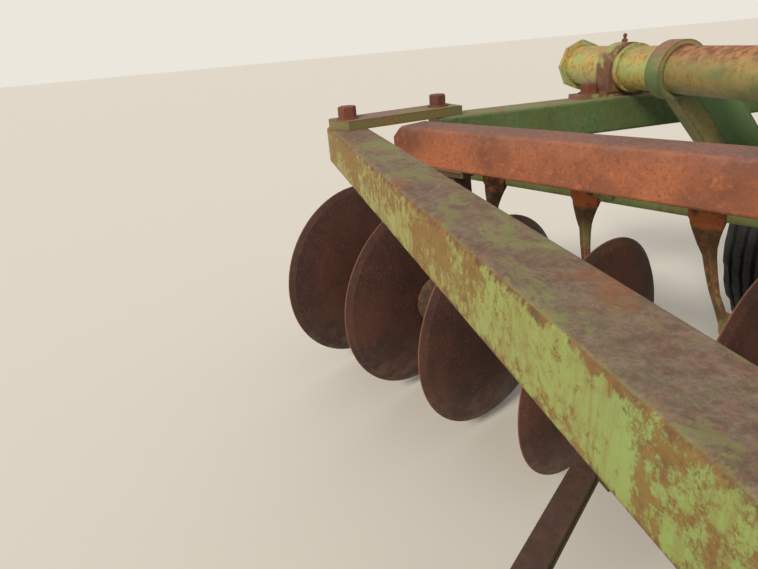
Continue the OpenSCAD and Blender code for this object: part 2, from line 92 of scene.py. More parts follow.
BEAM_Y, BEAM_Z = centre("front_beam", Y), centre("front_beam", Z)
FRAME_TOP = reach("front_beam", Z)
TUBE_HALF = FRAME_TOP - BEAM_Z
FRAME_LOW = BEAM_Z - TUBE_HALF
CENTRE_BEAM_X = reach("centre_beams", X) - TUBE_HALF
TIE_TOP = reach("corner_ties", Z)
TIE_BOLTS = ((1338, BEAM_Y), (1374, 1000))
SHAFT_Y, SHAFT_Z = centre("rockshaft", Y), centre("rockshaft", Z)
CLAMP_HALF, CLAMP_R, CLAMP_BOLT_Y = 24, 53, 84
CLAMP_X = (reach("shaft_bearings", X) - CLAMP_HALF, CENTRE_BEAM_X)
CLAMP_FOOT = FRAME_TOP + 10
ARM_OUT = reach("wheel_arm_right", X)
ARM_FACES, ARM_WELD_R = (ARM_OUT - 38, ARM_OUT - 1), 46
TYRE_X, WHEEL_Y, WHEEL_Z = centre("tyre_right", X), centre("tyre_right", Y), 375
WHEEL_NUTS_X, WHEEL_NUTS_R = TYRE_X + 14, 74
VALVE_X, VALVE_R = TYRE_X - 70, 186
TONGUE_END, TONGUE_Z = reach("tongue", Y), centre("tongue", Z)
CLEVIS_FACE, CLEVIS_BOLT_X, CLEVIS_BOLT_UP = TONGUE_END + 16, 25, 20
TONGUE_BOLT_X, TONGUE_BOLT_Z = 24, centre("tongue_hangers", Z)
TONGUE_BOLTS_Y = (BEAM_Y - 20, BEAM_Y + 20)
JACK_X, JACK_Y = centre("jack_leg", X), centre("jack_leg", Y)
JACK_BOLT_X, JACK_BOLT_Y, JACK_BOLT_UP = JACK_X + 8, JACK_Y - 40, 10
JACK_HANDLE_X, JACK_HANDLE_Z = JACK_X - 120, reach("jack_body", Z) - 88
BARREL_PIN = Vector((0, centre("cylinder_bracket", Y), reach("cylinder_bracket", Z) - 28))
CRANK_PIN = Vector((0, SHAFT_Y, SHAFT_Z + 200))
ROD_AIM = Vector((0, SHAFT_Y, CRANK_PIN.z - 5))
BARREL_R, BARREL_MOUTH = 36, 470
PORTS_AT = (62, 452)

# A gang's own drawing: U goes along its axle, V across it, and Z up from the ground.
GANG_ANGLE = math.radians(27.56)
GANG_X, GANG_Y, AXLE_Z = (centre("front_right_axle", axis) for axis in (X, Y, Z))
PITCH = 228.6
# A blade's rim lies this far along the axle from the blade's place on it.
RIM_PLANE = 46.8
BLADE_R = AXLE_Z - round(drawn("front_right_blades", Z)[0], 3)
BLADE_SPHERE, BLADE_FLAT = 600, 62
AXLE_PAST_BLADE = 40.5
# The scraper bar's front and underside, half its width, and how far it goes past the rims at its ends.
BAR_BACK, BAR_LOW, BAR_HALF = 168, 508, 25
BAR_PAST_ENDS = (120, 200)
SCRAPER_SLOPE = math.radians(46)
SCRAPER_TOP = BAR_LOW - 4
UPRIGHT_BACK, UPRIGHT_THICK = BAR_BACK + 3, 11
UPRIGHT_OUTLINE = ((103, -9), (152, -9), (162, 5), (165, 40), (103, 40))
UPRIGHT_BOLTS, UPRIGHT_BOLT_Z = (118, 149), BAR_LOW + 29
HANGER_U, HANGER_THICK = 240, 10
HANGER_OUTLINE = (
    (2, FRAME_TOP - 8), (2, FRAME_LOW + 8), (20 - BAR_BACK, BAR_LOW + 8),
    (-UPRIGHT_BACK, BAR_LOW + 12), (-UPRIGHT_BACK, BAR_LOW + 46), (-58, FRAME_TOP - 16),
)
SHOE_GAP, SHOE_THICK = 7, 6
HOUSING_BOLT_R, HOUSING_FACE, HOUSING_BACK = 48.5, 27, -55
STANDARD_HALF, STANDARD_EDGES = 44, (8, 72)

# Blades is how many a gang has, and standards how many pitches out from its middle they are.
Gang = namedtuple("Gang", "mirror side ahead blades standards")
GANGS = {
    "front_right": Gang(mirror=1, side=1, ahead=1, blades=8, standards=2),
    "front_left": Gang(mirror=-1, side=-1, ahead=1, blades=8, standards=2),
    "rear_right": Gang(mirror=-1, side=1, ahead=-1, blades=7, standards=1.5),
    "rear_left": Gang(mirror=1, side=-1, ahead=-1, blades=7, standards=1.5),
}

# Where a look sets in and where it is full, in metres out from the middle or up from the ground.
BEAM_MIDDLE = BEAM_Z / 1000
BEAM_FAR = (0.36, 0.80)
BEAM_HIGH = (BEAM_MIDDLE - 0.026, BEAM_MIDDLE + 0.022)
BEAM_BORDER = (0.030, 0.036)
GANG_BEAM_HIGH = (BEAM_MIDDLE + 0.002, BEAM_MIDDLE + 0.036)
# Where the scrapers' bright orange, partly painted sunlight, sets in.
SCRAPER_ON_BAR = ((BAR_LOW - 14) / 1000, (BAR_LOW - 6) / 1000)
SHAFT_END = (ARM_OUT / 1000 - 0.035, ARM_OUT / 1000)
WEB_FROM = (ARM_OUT / 1000 - 0.035, ARM_OUT / 1000 - 0.031)
WEB_TO = (ARM_OUT / 1000 - 0.006, ARM_OUT / 1000 - 0.010)
BLADE_SOIL = (0.22, 0.05)

UP, DOWN = (0, 0, 1), (0, 0, -1)
# These stand a plate's outline upright, with its thickness along U or along V.
THICK_ALONG_U = Matrix(((0, 0, 1, 0), (1, 0, 0, 0), (0, 1, 0, 0), (0, 0, 0, 1)))
THICK_ALONG_V = Matrix(((1, 0, 0, 0), (0, 0, 1, 0), (0, 1, 0, 0), (0, 0, 0, 1)))


def srgb(r, g, b):
    """A colour as it looks on a screen, 0 to 255, as the linear values that a shader takes."""
    parts = [v / 255 for v in (r, g, b)]
    return [v / 12.92 if v <= 0.04045 else ((v + 0.055) / 1.055) ** 2.4 for v in parts] + [1.0]


LEAF_GREEN = srgb(142, 172, 100)
FADED_GREEN = srgb(152, 166, 84)
PALE_GREEN = srgb(166, 180, 108)
YELLOW_GREEN = srgb(160, 154, 70)
MID_GREEN = srgb(100, 126, 78)
# A lighter copy of the mid green for the arm's web: painted light against the rockshaft's shade.
LIT_WEB_GREEN = srgb(110, 138, 86)
DEEP_GREEN = srgb(84, 104, 58)
DARK_GREEN = srgb(58, 78, 46)
OLIVE = srgb(118, 112, 66)
OLIVE_PATCH = srgb(126, 128, 78)
ARM_OLIVE = srgb(150, 138, 82)
GOLD_OLIVE = srgb(182, 154, 90)
GOLD_GREEN = srgb(200, 178, 92)
GOLD_RUST = srgb(186, 136, 74)
TOP_BROWN = srgb(98, 70, 64)
TOP_GREY = srgb(134, 104, 94)
STREAK = srgb(136, 104, 48)
BLOTCH = srgb(138, 102, 50)
RUST = srgb(140, 80, 52)
RUST_DARK = srgb(92, 54, 38)
EDGE_RUST = srgb(134, 92, 54)
PATCH_RUST = srgb(118, 78, 42)
# Bright orange on the scrapers' upper parts: partly rust, partly painted sunlight.
SUNLIT_RUST = srgb(206, 116, 62)
FLANGE_RUST = srgb(132, 104, 62)
CROWN_BROWN, CROWN_TAN = srgb(126, 78, 58), srgb(176, 122, 78)
ARM_BROWN, ARM_TAN = srgb(118, 82, 66), srgb(150, 106, 80)
ARM_EDGE = srgb(96, 68, 44)
BLADE_BROWN = srgb(82, 48, 34)
BLADE_DARK = srgb(56, 34, 26)
# The blades' rims: partly their ground bevel, partly a painted highlight.
BLADE_RIM_AND_HIGHLIGHT = srgb(150, 100, 72)
# Darker than the other tops: partly the braces' own rust, partly painted shade.
BRACE_TOP_AND_SHADE = srgb(78, 58, 44)
RUBBER = srgb(36, 35, 34)
RUBBER_GREY = srgb(76, 74, 70)
DUST = srgb(168, 152, 126)
STEEL = srgb(176, 172, 164)
FLOOR = srgb(226, 218, 204)
SKY = srgb(238, 240, 244)
BACKDROP = srgb(236, 231, 221)

# What is left of the old paint on steel that is mostly bare.
CLAMP_TRACE = srgb(156, 156, 86)
STEEL_TRACE = srgb(92, 84, 50)
# The braces' trace is darker, in part as painted shade.
BRACE_TRACE_AND_SHADE = srgb(84, 80, 42)
SCRAPER_TRACE = srgb(112, 102, 60)

# Rust in three shades: its bright grains, its own colour and its dark parts.
GANG_RUST = (srgb(200, 116, 66), srgb(172, 102, 66), srgb(124, 74, 52))
CLAMP_RUST = (srgb(164, 122, 84), srgb(146, 110, 78), srgb(110, 76, 56))
STEEL_RUST = (srgb(128, 88, 58), srgb(84, 60, 42), srgb(58, 42, 32))
# Darker than the other bare steel: partly the braces' own dark rust, partly painted shade.
BRACE_RUST_AND_SHADE = (srgb(100, 66, 44), srgb(74, 52, 36), srgb(50, 36, 26))
SCRAPER_RUST = (srgb(190, 112, 62), srgb(112, 84, 46), srgb(66, 50, 32))
BOLT_RUST = (RUST, srgb(128, 70, 50), RUST_DARK)
WELD_RUST = (RUST, OLIVE, RUST_DARK)


def set_camera():
    """Stands the camera where the photo was taken from, beside the frame's front beam."""
    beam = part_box("front_beam")[1]
    forward = Vector((
        math.cos(CAMERA_HEADING) * math.cos(CAMERA_PITCH),
        -math.sin(CAMERA_HEADING) * math.cos(CAMERA_PITCH),
        -math.sin(CAMERA_PITCH),
    ))
    level = forward.cross(Vector(UP)).normalized()
    right = Matrix.Rotation(CAMERA_ROLL, 3, -forward) @ level
    turn = Matrix((right, right.cross(forward), -forward)).transposed()
    place = Vector((CAMERA_SIDE, beam[1] + CAMERA_AHEAD, beam[2] + CAMERA_ABOVE))
    camera = bpy.data.objects.new("camera", bpy.data.cameras.new("camera"))
    bpy.context.collection.objects.link(camera)
    camera.data.sensor_width = SENSOR
    camera.data.lens = FOCAL_PX / IMAGE_WIDTH * SENSOR
    camera.data.clip_start = CAMERA_NEAR
    camera.matrix_world = Matrix.Translation(place) @ turn.to_4x4()
    bpy.context.scene.camera = camera


class Shader:
    """A principled material whose textures are fixed to the object, in metres."""

    def __init__(self, name):
        self.material = bpy.data.materials.new(name)
        self.material.use_nodes = True
        self.tree = self.material.node_tree
        self.out = self.tree.nodes["Principled BSDF"]
        coords = self.tree.nodes.new("ShaderNodeTexCoord")
        self.place = coords.outputs["Object"]
        self.normal = coords.outputs["Normal"]

    def node(self, kind, **settings):
        made = self.tree.nodes.new(kind)
        for key, value in settings.items():
            setattr(made, key, value)
        return made

    def feed(self, socket, value):
        """Links a socket to another one, or gives it a plain value."""
        if isinstance(value, bpy.types.NodeSocket):
            self.tree.links.new(value, socket)
        else:
            socket.default_value = value

    def noise(self, scale, detail=6.0, rough=0.6, distort=0.0):
        """Clouds from 0 to 1; three numbers as the scale stretch them along the axes."""
        made = self.node("ShaderNodeTexNoise")
        place = self.place
        if isinstance(scale, tuple):
            mapping = self.node("ShaderNodeMapping")
            mapping.inputs["Scale"].default_value = scale
            self.feed(mapping.inputs["Vector"], place)
            place = mapping.outputs["Vector"]
            scale = 1.0
        self.feed(made.inputs["Vector"], place)
        made.inputs["Scale"].default_value = scale
        made.inputs["Detail"].default_value = detail
        made.inputs["Roughness"].default_value = rough
        made.inputs["Distortion"].default_value = distort
        return made.outputs["Fac"]

    def between(self, value, low, high):
        """0 below low, 1 above high, and smooth in between; the other way round where low is the larger."""
        made = self.node("ShaderNodeMapRange", interpolation_type="SMOOTHSTEP")
        self.feed(made.inputs["Value"], value)
        made.inputs["From Min"].default_value = low
        made.inputs["From Max"].default_value = high
        return made.outputs["Result"]

    def calc(self, operation, a, b=0.0):
        made = self.node("ShaderNodeMath", operation=operation)
        self.feed(made.inputs[0], a)
        self.feed(made.inputs[1], b)
        return made.outputs[0]

    def plus(self, a, b):
        return self.calc("ADD", a, b)

    def minus(self, a, b):
        return self.calc("SUBTRACT", a, b)

    def times(self, a, b):
        return self.calc("MULTIPLY", a, b)

    def larger(self, a, b):
        return self.calc("MAXIMUM", a, b)

    def unsigned(self, a):
        return self.calc("ABSOLUTE", a)

    def swing(self, value, size):
        """A value from 0 to 1 as one that goes up and down about zero, with the given size in all."""
        return self.times(self.minus(value, 0.5), size)

    def mix(self, share, a, b):
        made = self.node("ShaderNodeMix", data_type="RGBA")
        self.feed(made.inputs[MIX_SHARE], share)
        self.feed(made.inputs[MIX_A], a)
        self.feed(made.inputs[MIX_B], b)
        return made.outputs[MIX_RESULT]

    def part(self, vector, axis):
        split = self.node("ShaderNodeSeparateXYZ")
        self.feed(split.inputs[0], vector)
        return split.outputs[axis]

    def facing(self, axis):
        """How far a face looks along an axis, from -1 to 1."""
        return self.part(self.normal, axis)

    def where(self, axis):
        """How far along an axis a point lies, in metres."""
        return self.part(self.place, axis)

    def edges(self, radius):
        """1 on sharp edges, 0 on flat faces."""
        bevel = self.node("ShaderNodeBevel", samples=4)
        bevel.inputs["Radius"].default_value = radius
        geometry = self.node("ShaderNodeNewGeometry")
        dot = self.node("ShaderNodeVectorMath", operation="DOT_PRODUCT")
        self.feed(dot.inputs[0], bevel.outputs["Normal"])
        self.feed(dot.inputs[1], geometry.outputs["Normal"])
        return self.between(self.minus(1.0, dot.outputs["Value"]), 0.01, 0.16)

    def finish(self, colour, roughness, height, strength=0.35, distance=0.002, metallic=0.0):
        """Puts the looks on the material; the height makes its bumps."""
        self.feed(self.out.inputs["Base Color"], colour)
        self.feed(self.out.inputs["Roughness"], roughness)
        self.out.inputs["Metallic"].default_value = metallic
        bump = self.node("ShaderNodeBump")
        bump.inputs["Strength"].default_value = strength
        bump.inputs["Distance"].default_value = distance
        self.feed(bump.inputs["Height"], height)
        self.feed(self.out.inputs["Normal"], bump.outputs["Normal"])
        return self.material


def rust_colour(s, light, mid, dark):
    """Rust that is mottled on a hand's scale and grainy close up."""
    grain = s.noise(190, detail=5, rough=0.8)
    fine = s.noise(60, detail=7, rough=0.8)
    broad = s.noise(7, detail=6)
    colour = s.mix(s.between(broad, 0.36, 0.64), dark, mid)
    colour = s.mix(s.times(s.between(fine, 0.50, 0.68), 0.7), colour, light)
    return s.mix(s.times(s.between(grain, 0.50, 0.60), 0.7), colour, dark)


def worn_top(s, top, rough_speck):
    """The upper faces of old paint: brown and grey, with some patches of the paint left."""
    mottle = s.noise((13, 24, 24), detail=10, rough=0.74, distort=0.6)
    drift = s.swing(s.noise(3.2, detail=2), 0.35)
    left = s.between(s.plus(s.plus(mottle, drift), s.times(rough_speck, 0.8)), 0.47, 0.56)
    grain = s.noise(70, detail=9, rough=0.9)
    colour = s.mix(s.between(grain, 0.44, 0.60), top, TOP_GREY)
    spots = s.between(s.noise(9, detail=8, rough=0.7), 0.52, 0.62)
    colour = s.mix(s.times(spots, 0.7), colour, RUST)
    return s.mix(s.times(left, 0.85), colour, s.mix(s.between(grain, 0.46, 0.62), OLIVE_PATCH, OLIVE))


def worn_border(s, side):
    """1 on the ragged upper and lower borders of a beam's sides, where the paint has gone."""
    off_middle = s.unsigned(s.minus(s.where(Z), BEAM_MIDDLE))
    ragged = s.noise((34, 34, 12), detail=9, rough=0.75)
    ragged = s.plus(off_middle, s.swing(ragged, 0.06))
    border = s.times(s.between(ragged, *BEAM_BORDER), 0.9)
    return s.times(border, side)


def worn_paint(name, light, deep, bare=0.5, top=TOP_BROWN, top_share=0.85, drips=0.6, fade=OLIVE, beam=False):
    """Old paint: faded, rusted through in blotches, bare on its edges and brown on top, with runs of rust.

    The less bare is, the more blotches there are. With beam, the paint yellows towards the beam's ends and
    has gone from the borders of its sides.
    """
    s = Shader(name)
    speck = s.noise(90, detail=8, rough=0.8)
    rough_speck = s.swing(speck, 0.85)
    blotch = s.plus(s.noise((12, 12, 9), detail=10, rough=0.72, distort=0.25), rough_speck)
    blotch = s.plus(blotch, s.swing(s.noise(4.5, detail=3), 0.3))
    run = s.noise((130, 130, 14), detail=9, rough=0.75)
    wide_run = s.noise((22, 22, 6), detail=5, rough=0.6)
    upper = s.between(s.facing(Z), 0.55, 0.9)
    side = s.minus(1.0, upper)
    if beam:
        far = s.between(s.unsigned(s.where(X)), *BEAM_FAR)
        high = s.between(s.where(Z), *BEAM_HIGH)
        blotch = s.plus(blotch, s.times(s.times(far, high), 0.085))
    patches = s.between(blotch, bare, bare + 0.10)
    runs = s.times(s.between(run, 0.44, 0.60), s.times(s.between(wide_run, 0.34, 0.56), drips))
    paint = s.mix(s.between(s.noise(3.5, detail=5), 0.36, 0.62), deep, light)
    if beam:
        paint = s.mix(s.times(far, 0.7), paint, YELLOW_GREEN)
        runs = s.times(runs, s.plus(0.45, s.times(far, 0.55)))
    runs = s.times(runs, side)
    worn_edge = s.times(s.edges(0.008), s.between(speck, 0.36, 0.52))
    if beam:
        worn_edge = s.larger(worn_edge, worn_border(s, side))
    bands = s.between(s.noise((9, 9, 16), detail=6, rough=0.65), 0.36, 0.62)
    paint = s.mix(s.times(s.between(speck, 0.42, 0.60), s.times(bands, 0.85)), paint, fade)
    colour = s.mix(s.times(runs, 0.9), paint, s.mix(s.between(speck, 0.4, 0.6), STREAK, BLOTCH))
    brown = s.mix(s.between(s.noise(150, detail=5, rough=0.8), 0.46, 0.64), BLOTCH, PATCH_RUST)
    colour = s.mix(s.times(patches, 0.85), colour, brown)
    colour = s.mix(worn_edge, colour, s.mix(s.between(speck, 0.4, 0.62), RUST_DARK, EDGE_RUST))
    colour = s.mix(s.times(upper, top_share), colour, worn_top(s, top, rough_speck))
    rusted = s.larger(s.larger(patches, worn_edge), s.times(upper, top_share))
    roughness = s.plus(0.5, s.times(rusted, 0.32))
    height = s.plus(s.times(s.larger(patches, worn_edge), -0.5), s.noise(330, detail=4, rough=0.7))
    return s.finish(colour, roughness, height, strength=0.3, distance=0.0015)


def rusty(name, shades, top=TOP_GREY, top_share=0.6, trace=None, bare_top=False, band=False, sunlit_rust_top=False):
    """Bare rusty steel, greyer on top.

    Trace is the colour of old paint that is left in spots, and bare_top keeps them off the upper faces and
    makes more of them. Band greys the sides of a gang beam higher up, and sunlit_rust_top puts patches of
    bright orange on a scraper's upper part, where it is on its bar: partly bright rust, partly painted
    sunlight.
    """
    s = Shader(name)
    colour = rust_colour(s, *shades)
    if band:
        pale = s.times(s.between(s.where(Z), *GANG_BEAM_HIGH), s.between(s.noise(60, detail=6), 0.3, 0.65))
        colour = s.mix(s.times(pale, 0.45), colour, TOP_GREY)
    upper = s.times(s.between(s.facing(Z), 0.6, 0.95), top_share)
    top_grain = s.between(s.noise(130, detail=6, rough=0.8), 0.38, 0.62)
    colour = s.mix(upper, colour, s.mix(top_grain, top, TOP_BROWN))
    if trace:
        spots_from, spots_to = (0.46, 0.56) if bare_top else (0.57, 0.63)
        spots = s.plus(s.noise(14, detail=9, rough=0.72), s.times(s.noise(80), 0.1))
        left = s.between(spots, spots_from, spots_to)
        if bare_top:
            left = s.times(left, s.between(s.facing(Z), 0.8, 0.4))
        colour = s.mix(left, colour, trace)
    # Patches of bright orange on a scraper's upper part, where it is on its bar: partly bright rust, partly
    # painted sunlight.
    if sunlit_rust_top:
        on_bar = s.between(s.where(Z), *SCRAPER_ON_BAR)
        bright = s.times(on_bar, s.between(s.noise(11, detail=8, rough=0.7), 0.44, 0.54))
        colour = s.mix(s.times(bright, 0.85), colour, SUNLIT_RUST)
    colour = s.mix(s.times(s.edges(0.006), 0.3), colour, shades[0])
    height = s.plus(s.noise(420, detail=4, rough=0.7), s.times(s.noise(45, detail=4), 1.5))
    return s.finish(colour, 0.84, height)


def shaft_look(name):
    """The rockshaft: golden olive paint, light green at its ends, and brown along its upper side."""
    s = Shader(name)
    speck = s.noise(90, detail=8, rough=0.82)
    blotch = s.noise((8, 16, 16), detail=9, rough=0.72)
    loose = s.plus(s.swing(blotch, 1.3), s.swing(speck, 1.5))
    paint = s.mix(s.between(s.noise(5, detail=5), 0.38, 0.6), GOLD_OLIVE, ARM_OLIVE)
    paint = s.mix(s.times(s.between(s.noise(9, detail=8, rough=0.7), 0.50, 0.60), 0.6), paint, MID_GREEN)
    end = s.between(s.unsigned(s.where(X)), *SHAFT_END)
    end_paint = s.mix(s.between(s.plus(blotch, s.times(loose, 0.1)), 0.44, 0.56), PALE_GREEN, GOLD_GREEN)
    paint = s.mix(s.times(end, 0.9), paint, end_paint)
    spots = s.times(s.between(loose, -0.06, 0.26), 0.75)
    colour = s.mix(spots, paint, s.mix(s.between(speck, 0.45, 0.6), GOLD_RUST, BLOTCH))
    ragged_up = s.plus(s.facing(Z), s.times(loose, 0.75))
    crown = s.times(s.between(ragged_up, 0.15, 0.95), s.minus(1.0, s.times(end, 0.45)))
    colour = s.mix(crown, colour, s.mix(s.between(s.noise(60, detail=7), 0.42, 0.6), CROWN_BROWN, CROWN_TAN))
    rim = s.edges(0.012)
    colour = s.mix(s.times(rim, s.between(speck, 0.36, 0.6)), colour, FLANGE_RUST)
    rusted = s.larger(crown, spots)
    height = s.plus(s.times(rusted, -0.5), s.noise(330, detail=4))
    return s.finish(colour, s.plus(0.45, s.times(rusted, 0.35)), height, strength=0.3, distance=0.0015)


def arm_look(name):
    """A wheel arm: olive paint, brown on top and on its edges, with its thinner web in a greener paint that
    is lighter as painted light against the rockshaft's shade.
    """
    s = Shader(name)
    speck = s.noise(90, detail=8, rough=0.82)
    blotch = s.noise(12, detail=9, rough=0.72)
    out = s.unsigned(s.where(X))
    flat = s.between(s.unsigned(s.facing(X)), 0.7, 0.9)
    web = s.times(flat, s.times(s.between(out, *WEB_FROM), s.between(out, *WEB_TO)))
    paint = s.mix(s.between(blotch, 0.42, 0.6), ARM_OLIVE, MID_GREEN)
    paint = s.mix(s.times(s.between(speck, 0.46, 0.66), 0.6), paint, BLOTCH)
    # The web's green is lighter than the arm's mid green as painted light, against the shade of the
    # rockshaft.
    paint = s.mix(web, paint, s.mix(s.between(speck, 0.36, 0.66), LIT_WEB_GREEN, MID_GREEN))
    upper = s.between(s.plus(s.facing(Z), s.swing(blotch, 1.2)), 0.3, 0.8)
    colour = s.mix(s.times(upper, 0.85), paint, s.mix(s.between(speck, 0.42, 0.6), ARM_BROWN, ARM_TAN))
    colour = s.mix(s.times(s.edges(0.009), s.between(speck, 0.32, 0.56)), colour, ARM_EDGE)
    return s.finish(colour, 0.62, s.plus(s.noise(330, detail=4), blotch), strength=0.3, distance=0.0015)


def blade_steel(name):
    """A blade: dark brown rust, with a little soil low down and a lighter rim that is partly its ground bevel
    and partly a painted highlight.
    """
    s = Shader(name)
    fine = s.noise(190, detail=5, rough=0.7)
    broad = s.noise(7, detail=6, rough=0.6, distort=0.3)
    colour = s.mix(s.between(broad, 0.36, 0.64), BLADE_DARK, BLADE_BROWN)
    colour = s.mix(s.times(s.between(fine, 0.5, 0.75), 0.55), colour, RUST)
    # Lighter rims: partly the ground bevel, partly a painted highlight on every edge.
    colour = s.mix(s.edges(0.004), colour, BLADE_RIM_AND_HIGHLIGHT)
    soil = s.times(s.between(s.where(Z), *BLADE_SOIL), s.between(s.noise(24, detail=7), 0.42, 0.62))
    colour = s.mix(s.times(soil, 0.18), colour, DUST)
    return s.finish(colour, 0.68, s.plus(fine, broad), strength=0.3)


def dusty_rubber(name):
    """Black rubber with grey dust and fine cracks."""
    s = Shader(name)
    dust = s.between(s.noise(30, detail=8, rough=0.7), 0.42, 0.7)
    colour = s.mix(s.times(dust, 0.55), RUBBER, RUBBER_GREY)
    cracks = s.noise((30, 160, 160), detail=8, rough=0.7)
    return s.finish(colour, 0.85, s.plus(cracks, s.noise(400, detail=3)))


def chrome_rod(name):
    """The cylinder's rod: dull bright steel with a few spots of rust."""
    s = Shader(name)
    spots = s.between(s.noise(120, detail=6), 0.58, 0.68)
    colour = s.mix(spots, STEEL, RUST)
    return s.finish(colour, 0.35, s.noise(300), strength=0.1, metallic=0.6)


set_camera()

beam_paint = worn_paint("beam_paint", LEAF_GREEN, FADED_GREEN, drips=1.0, fade=STREAK, beam=True)
tongue_paint = worn_paint("tongue_paint", LEAF_GREEN, YELLOW_GREEN, bare=0.56, drips=0.8)
shaft_paint = shaft_look("shaft_paint")
arm_paint = arm_look("arm_paint")
deep_paint = worn_paint(
    "deep_paint", DEEP_GREEN, DARK_GREEN, bare=0.68, top=TOP_GREY, drips=0.25, fade=MID_GREEN,
)
bar_paint = worn_paint(
    "bar_paint", PALE_GREEN, LEAF_GREEN, bare=0.62, top=OLIVE_PATCH, drips=0.3, fade=PALE_GREEN,
)
tie_paint = worn_paint("tie_paint", DEEP_GREEN, OLIVE, bare=0.55, top=TOP_GREY, top_share=1.0, drips=0.3)
gang_rust = rusty("gang_rust", GANG_RUST, band=True)
clamp_rust = rusty("clamp_rust", CLAMP_RUST, trace=CLAMP_TRACE)
dark_steel = rusty("dark_steel", STEEL_RUST, top_share=0.4, trace=STEEL_TRACE)
# The braces' steel, whose darker colours are partly painted shade.
shaded_brace_steel = rusty(
    "shaded_brace_steel", BRACE_RUST_AND_SHADE, top=BRACE_TOP_AND_SHADE, top_share=0.35, trace=BRACE_TRACE_AND_SHADE, bare_top=True,
)
# The scrapers' bright orange upper parts are partly painted sunlight.
scraper_steel = rusty("scraper_steel", SCRAPER_RUST, top_share=0.15, trace=SCRAPER_TRACE, sunlit_rust_top=True)
bolt_steel = rusty("bolt_steel", BOLT_RUST, top_share=0.25)
blade_look = blade_steel("blade_steel")
tyre_rubber = dusty_rubber("tyre_rubber")
rod_look = chrome_rod("chrome_rod")
weld_steel = rusty("weld_steel", WELD_RUST, top_share=0.3, trace=DEEP_GREEN)
grip_plastic = dusty_rubber("grip_plastic")
rim_paint = worn_paint("rim_paint", YELLOW_GREEN, DEEP_GREEN, bare=0.47, drips=0.2, top_share=0.2)

LOOKS = {
    "front_beam": beam_paint, "rear_beam": beam_paint,
    "side_beam_right": deep_paint, "side_beam_left": deep_paint,
    "centre_beams": deep_paint, "corner_ties": tie_paint,
    "shaft_bearings": clamp_rust, "rockshaft": shaft_paint,
    "wheel_arm_right": arm_paint, "wheel_arm_left": arm_paint,
    "tyre_right": tyre_rubber, "tyre_left": tyre_rubber,
    "wheel_right": rim_paint, "wheel_left": rim_paint,
    "lift_crank": arm_paint, "cylinder_bracket": shaft_paint,
    "lift_barrel": deep_paint, "lift_rod": rod_look,
    "tongue": tongue_paint, "hitch_braces": shaded_brace_steel,
    "tongue_hangers": dark_steel, "hitch_clevis": clamp_rust,
    "jack_body": clamp_rust, "jack_leg": dark_steel,
}
GANG_LOOKS = {
    "beam": gang_rust, "standards": dark_steel, "scrapers": dark_steel,
    "axle": dark_steel, "blades": blade_look,
}
for gang_name in GANGS:
    for part, look in GANG_LOOKS.items():
        LOOKS[f"{gang_name}_{part}"] = look


def paint_nodes():
    """Gives each node of the frame its material."""
    for name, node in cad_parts.items():
        node.data.materials.clear()
        node.data.materials.append(LOOKS[name])


def make_floor():
    """A plain pale floor, which is only there for the picture."""
    data = bpy.data.meshes.new("floor")
    corners = [(x * FLOOR_HALF, y * FLOOR_HALF, 0) for x, y in ((-1, -1), (1, -1), (1, 1), (-1, 1))]
    data.from_pydata(corners, [], [(0, 1, 2, 3)])
    floor = bpy.data.objects.new("floor", data)
    bpy.context.collection.objects.link(floor)
    material = bpy.data.materials.new("floor")
    material.use_nodes = True
    out = material.node_tree.nodes["Principled BSDF"]
    out.inputs["Base Color"].default_value = FLOOR
    out.inputs["Roughness"].default_value = 0.9
    data.materials.append(material)


def make_sky():
    """A pale sky all round, in whose place the camera and clear reflections see a plain pale backdrop."""
    world = bpy.data.worlds.new("world")
    bpy.context.scene.world = world
    world.use_nodes = True
    tree = world.node_tree

    def either(a, b):
        made = tree.nodes.new("ShaderNodeMath")
        made.operation = "MAXIMUM"
        tree.links.new(a, made.inputs[0])
        tree.links.new(b, made.inputs[1])
        return made.outputs[0]

    sky = tree.nodes["Background"]
    sky.inputs["Color"].default_value = SKY
    sky.inputs["Strength"].default_value = SKY_STRENGTH
    backdrop = tree.nodes.new("ShaderNodeBackground")
    backdrop.inputs["Color"].default_value = BACKDROP
    ray = tree.nodes.new("ShaderNodeLightPath").outputs
    seen = either(either(ray["Is Camera Ray"], ray["Is Glossy Ray"]), ray["Is Transmission Ray"])
    mix = tree.nodes.new("ShaderNodeMixShader")
    tree.links.new(seen, mix.inputs[0])
    tree.links.new(sky.outputs[0], mix.inputs[1])
    tree.links.new(backdrop.outputs[0], mix.inputs[2])
    tree.links.new(mix.outputs[0], tree.nodes["World Output"].inputs["Surface"])


def make_lamp():
    """One broad soft lamp from the front left."""
    lamp = bpy.data.objects.new("sun", bpy.data.lights.new("sun", "SUN"))
    bpy.context.collection.objects.link(lamp)
    lamp.data.energy = LAMP_STRENGTH
    lamp.data.angle = LAMP_ANGLE
    lamp.data.color = LAMP_COLOUR
    lamp.rotation_euler = Vector(LAMP_FROM).to_track_quat("Z", "Y").to_euler()


def mm(*place):
    """A place given in millimetres, in metres."""
    return Vector(place) / 1000


def at(x, y, z):
    """A place in the machine's drawing, in millimetres, as a place in the scene."""
    return mm(x, y - SHIFT_Y, z)


def side_name(side):
    return "right" if side > 0 else "left"


def gang_matrix(gang):
    """Where a gang's own drawing lies in the scene."""
    place = Matrix.Translation(at(gang.side * GANG_X, gang.ahead * GANG_Y, 0))
    return place @ Matrix.Diagonal((gang.mirror, 1, 1, 1)) @ Matrix.Rotation(GANG_ANGLE, 4, "Z")


def rim_at(gang, k):
    """Where along the axle the rim of a gang's blade lies, from the first one, 0, down to the last."""
    return (gang.blades - 1) * PITCH / 2 - k * PITCH + RIM_PLANE


def standards_at(gang):
    """Where along the axle a gang's two standards are."""
    return -gang.standards * PITCH, gang.standards * PITCH


